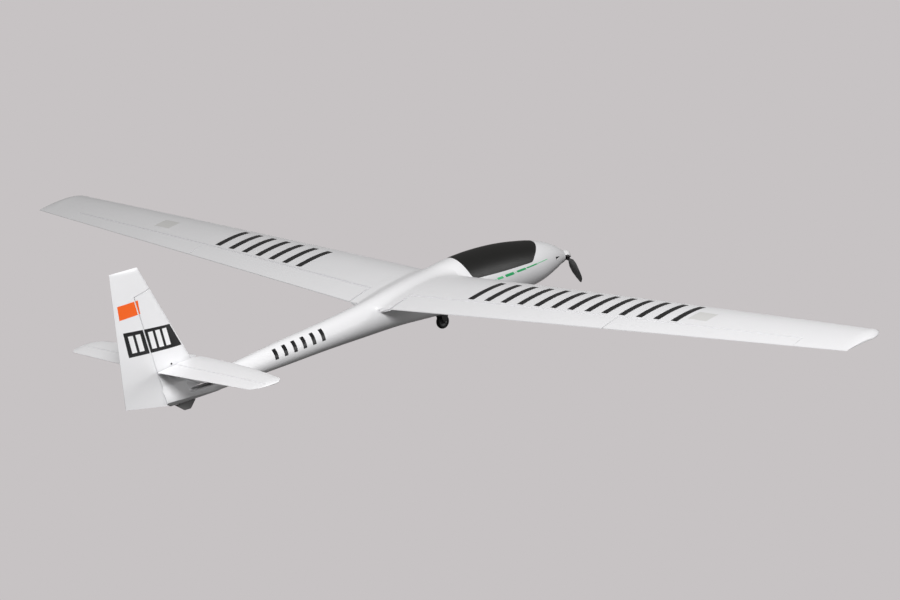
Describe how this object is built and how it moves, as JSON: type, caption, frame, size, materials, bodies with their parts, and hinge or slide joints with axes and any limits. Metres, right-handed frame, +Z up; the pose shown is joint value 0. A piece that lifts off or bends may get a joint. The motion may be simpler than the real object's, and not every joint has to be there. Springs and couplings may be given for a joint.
{
  "type": "rc sailplane",
  "caption": "Electric foam sailplane with folding propeller, plug-in wings, flaps, ailerons, rudder, elevator and a fixed main wheel.",
  "frame": {"origin": "on the ground under the middle of the sailplane's bounding box, which stands on its main wheel and tail skid", "axes": "+Z up, nose towards -Y, tail towards +Y, port wing towards +X, starboard wing towards -X"},
  "size_m": [2.4994, 1.214, 0.3111],
  "materials": {
    "white_foam": "satin painted moulded foam",
    "canopy_black": "satin black, finely textured",
    "carbon_tube": "pultruded carbon",
    "steel_wire": "plain drawn wire",
    "mount_alloy": "machined",
    "motor_metal": "machined",
    "tyre_rubber": "soft foam rubber",
    "grey_plastic": "moulded",
    "skid_plastic": "moulded, scuffed",
    "white_plastic": "moulded",
    "hatch_film": "satin film",
    "battery_wrap": "shrink wrap",
    "strap_fabric": "hook and loop",
    "plywood": "bare plywood",
    "propeller_black": "moulded nylon",
    "black_plastic": "moulded"
  },
  "bodies": {
    "airframe": {"aileron_servo_hatch_left": "hatch_film", "aileron_servo_hatch_right": "hatch_film", "aileron_servo_left": "black_plastic", "aileron_servo_right": "black_plastic", "battery": "battery_wrap", "battery_strap": "strap_fabric", "elevator_servo": "black_plastic", "equipment_tray": "plywood", "flap_servo_left": "black_plastic", "flap_servo_right": "black_plastic", "fuselage_left_shell": "white_foam", "fuselage_right_shell": "white_foam", "motor_mount": "mount_alloy", "motor_stator": "motor_metal", "receiver": "grey_plastic", "rudder_servo": "black_plastic", "speed_controller": "grey_plastic", "stabiliser_joiner_tube": "carbon_tube", "stabiliser_left": "white_foam", "stabiliser_right": "white_foam", "tail_skid": "skid_plastic", "wheel_axle": "steel_wire", "wheel_bracket": "black_plastic", "wing_joiner_tube": "carbon_tube", "wing_left": "white_foam", "wing_right": "white_foam"},
    "canopy": {"canopy": "canopy_black"},
    "propeller": {"motor_bell": "motor_metal", "propeller_hub": "propeller_black", "spinner": "white_plastic"},
    "blade_left": {"propeller_blade_left": "propeller_black"},
    "blade_right": {"propeller_blade_right": "propeller_black"},
    "wheel": {"tyre": "tyre_rubber", "wheel_hub": "grey_plastic"},
    "flap_left": {"flap_left": "white_foam", "flap_horn_left": "black_plastic"},
    "flap_arm_left": {"flap_servo_arm_left": "white_plastic"},
    "flap_rod_left": {"flap_pushrod_left": "steel_wire"},
    "aileron_left": {"aileron_left": "white_foam", "aileron_horn_left": "black_plastic"},
    "aileron_arm_left": {"aileron_servo_arm_left": "white_plastic"},
    "aileron_rod_left": {"aileron_pushrod_left": "steel_wire"},
    "flap_right": {"flap_right": "white_foam", "flap_horn_right": "black_plastic"},
    "flap_arm_right": {"flap_servo_arm_right": "white_plastic"},
    "flap_rod_right": {"flap_pushrod_right": "steel_wire"},
    "aileron_right": {"aileron_right": "white_foam", "aileron_horn_right": "black_plastic"},
    "aileron_arm_right": {"aileron_servo_arm_right": "white_plastic"},
    "aileron_rod_right": {"aileron_pushrod_right": "steel_wire"},
    "elevator": {"elevator_left": "white_foam", "elevator_right": "white_foam", "elevator_joiner": "steel_wire", "elevator_horn": "black_plastic"},
    "rudder": {"rudder": "white_foam", "rudder_horn": "black_plastic"},
    "elevator_arm": {"elevator_servo_arm": "white_plastic"},
    "elevator_rod": {"elevator_pushrod": "steel_wire"},
    "rudder_arm": {"rudder_servo_arm": "white_plastic"},
    "rudder_rod": {"rudder_pushrod": "steel_wire"}
  },
  "joints": [
    {"name": "canopy_lift", "type": "slide", "parent": "airframe", "child": "canopy", "axis": [0, 0, 1], "range_m": [0, 0.08]},
    {"name": "propeller_spin", "type": "hinge", "parent": "airframe", "child": "propeller", "pos_m": [0, -0.607, 0.0755], "axis": [0, -1, 0], "continuous": true},
    {"name": "blade_fold_left", "type": "hinge", "parent": "propeller", "child": "blade_left", "pos_m": [0.01572, -0.5905, 0.0785], "axis": [-0.1874, 0, 0.9823], "range_deg": [-31, 20]},
    {"name": "blade_fold_right", "type": "hinge", "parent": "propeller", "child": "blade_right", "pos_m": [-0.01572, -0.5905, 0.0725], "axis": [0.1874, 0, -0.9823], "range_deg": [-31, 20]},
    {"name": "wheel_roll", "type": "hinge", "parent": "airframe", "child": "wheel", "pos_m": [0, -0.235, 0.0155], "axis": [1, 0, 0], "continuous": true},
    {"name": "flap_hinge_left", "type": "hinge", "parent": "airframe", "child": "flap_left", "pos_m": [0.27, -0.11351, 0.11232], "axis": [0.9979, -0.0529, 0.0381], "range_deg": [-40, 5]},
    {"name": "flap_servo_left", "type": "hinge", "parent": "airframe", "child": "flap_arm_left", "pos_m": [0.27, -0.16351, 0.11232], "axis": [0.9979, -0.0529, 0.0381], "range_deg": [-40, 5]},
    {"name": "flap_rod_pin_left", "type": "hinge", "parent": "flap_arm_left", "child": "flap_rod_left", "pos_m": [0.27, -0.16351, 0.09782], "axis": [0.9979, -0.0529, 0.0381], "range_deg": [-5, 40]},
    {"name": "aileron_hinge_left", "type": "hinge", "parent": "airframe", "child": "aileron_left", "pos_m": [0.84, -0.14227, 0.13287], "axis": [0.9985, -0.0454, 0.0318], "range_deg": [-25, 25]},
    {"name": "aileron_servo_left", "type": "hinge", "parent": "airframe", "child": "aileron_arm_left", "pos_m": [0.84, -0.18727, 0.13287], "axis": [0.9985, -0.0454, 0.0318], "range_deg": [-25, 25]},
    {"name": "aileron_rod_pin_left", "type": "hinge", "parent": "aileron_arm_left", "child": "aileron_rod_left", "pos_m": [0.84, -0.18727, 0.11836], "axis": [0.9985, -0.0454, 0.0318], "range_deg": [-25, 25]},
    {"name": "flap_hinge_right", "type": "hinge", "parent": "airframe", "child": "flap_right", "pos_m": [-0.27, -0.11351, 0.11232], "axis": [0.9979, 0.0529, -0.0381], "range_deg": [-40, 5]},
    {"name": "flap_servo_right", "type": "hinge", "parent": "airframe", "child": "flap_arm_right", "pos_m": [-0.27, -0.16351, 0.11232], "axis": [0.9979, 0.0529, -0.0381], "range_deg": [-40, 5]},
    {"name": "flap_rod_pin_right", "type": "hinge", "parent": "flap_arm_right", "child": "flap_rod_right", "pos_m": [-0.27, -0.16351, 0.09782], "axis": [0.9979, 0.0529, -0.0381], "range_deg": [-5, 40]},
    {"name": "aileron_hinge_right", "type": "hinge", "parent": "airframe", "child": "aileron_right", "pos_m": [-0.84, -0.14227, 0.13287], "axis": [0.9985, 0.0454, -0.0318], "range_deg": [-25, 25]},
    {"name": "aileron_servo_right", "type": "hinge", "parent": "airframe", "child": "aileron_arm_right", "pos_m": [-0.84, -0.18727, 0.13287], "axis": [0.9985, 0.0454, -0.0318], "range_deg": [-25, 25]},
    {"name": "aileron_rod_pin_right", "type": "hinge", "parent": "aileron_arm_right", "child": "aileron_rod_right", "pos_m": [-0.84, -0.18727, 0.11836], "axis": [0.9985, 0.0454, -0.0318], "range_deg": [-25, 25]},
    {"name": "elevator_hinge", "type": "hinge", "parent": "airframe", "child": "elevator", "pos_m": [0, 0.4776, 0.09624], "axis": [1, 0, 0], "range_deg": [-25, 25]},
    {"name": "rudder_hinge", "type": "hinge", "parent": "airframe", "child": "rudder", "pos_m": [0, 0.52948, 0.11406], "axis": [0, 0.2008, 0.9796], "range_deg": [-28, 28]},
    {"name": "elevator_servo_turn", "type": "hinge", "parent": "airframe", "child": "elevator_arm", "pos_m": [-0.0215, -0.17, 0.079], "axis": [0, 0, 1], "range_deg": [-36, 36]},
    {"name": "elevator_rod_slide", "type": "slide", "parent": "airframe", "child": "elevator_rod", "axis": [0, 1, 0], "range_m": [-0.0088, 0.0088]},
    {"name": "rudder_servo_turn", "type": "hinge", "parent": "airframe", "child": "rudder_arm", "pos_m": [0.0215, -0.17, 0.079], "axis": [0, 0, 1], "range_deg": [-40.5, 40.5]},
    {"name": "rudder_rod_slide", "type": "slide", "parent": "airframe", "child": "rudder_rod", "axis": [0, 1, 0], "range_m": [-0.0099, 0.0099]}
  ],
  "couplings": [
    {"joint": "flap_servo_left", "follows": "flap_hinge_left", "ratio": 1},
    {"joint": "flap_rod_pin_left", "follows": "flap_hinge_left", "ratio": -1},
    {"joint": "aileron_servo_left", "follows": "aileron_hinge_left", "ratio": 1},
    {"joint": "aileron_rod_pin_left", "follows": "aileron_hinge_left", "ratio": -1},
    {"joint": "flap_servo_right", "follows": "flap_hinge_right", "ratio": 1},
    {"joint": "flap_rod_pin_right", "follows": "flap_hinge_right", "ratio": -1},
    {"joint": "aileron_servo_right", "follows": "aileron_hinge_right", "ratio": 1},
    {"joint": "aileron_rod_pin_right", "follows": "aileron_hinge_right", "ratio": -1},
    {"joint": "elevator_servo_turn", "follows": "elevator_hinge", "ratio": 1.4286},
    {"joint": "elevator_rod_slide", "follows": "elevator_hinge", "m_per_rad": 0.02},
    {"joint": "rudder_servo_turn", "follows": "rudder_hinge", "ratio": -1.4286},
    {"joint": "rudder_rod_slide", "follows": "rudder_hinge", "m_per_rad": 0.02}
  ]
}
